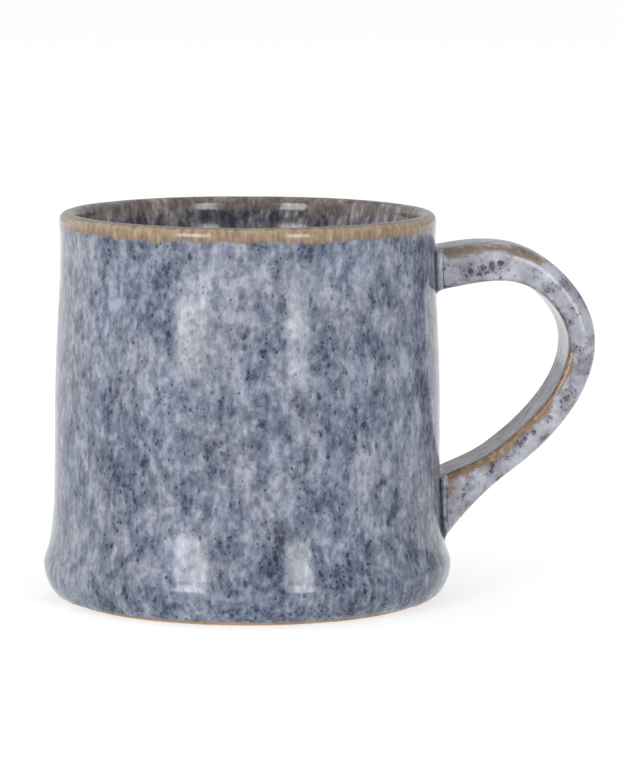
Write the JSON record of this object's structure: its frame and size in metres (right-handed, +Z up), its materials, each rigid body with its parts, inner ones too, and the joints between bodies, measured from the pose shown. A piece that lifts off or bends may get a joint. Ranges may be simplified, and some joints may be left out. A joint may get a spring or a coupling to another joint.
{
  "type": "mug",
  "caption": "Straight-sided stoneware mug with a flared heel, a turned foot ring, an open cup and a looped strap handle, covered in a speckled glaze.",
  "frame": {"origin": "centre of the plane that the foot ring rests on", "axes": "+Z up the cup's axis, +X from the axis towards the handle, +Y across the handle's width"},
  "size_m": [0.1289, 0.0952, 0.09],
  "materials": {
    "stoneware": "bare fired stoneware, dry and fine-grained, warm grey-buff",
    "slip": "fired slip of the same clay, slightly darker",
    "outer_glaze": "soft-gloss blue-grey reactive glaze with dark slate speckles in vertical clusters, breaking tan on sharp edges",
    "rim_glaze": "soft-gloss tan, where the glaze breaks thin over the lip",
    "inner_glaze": "soft-gloss grey-brown with dark vertical streaks"
  },
  "bodies": {
    "root": {"cup_body": "stoneware", "handle": "stoneware", "upper_joint_slip": "slip", "lower_joint_slip": "slip", "exterior_glaze": "outer_glaze", "handle_glaze": "outer_glaze", "rim_glaze": "rim_glaze", "interior_glaze": "inner_glaze", "base_glaze": "outer_glaze"}
  },
  "joints": []
}
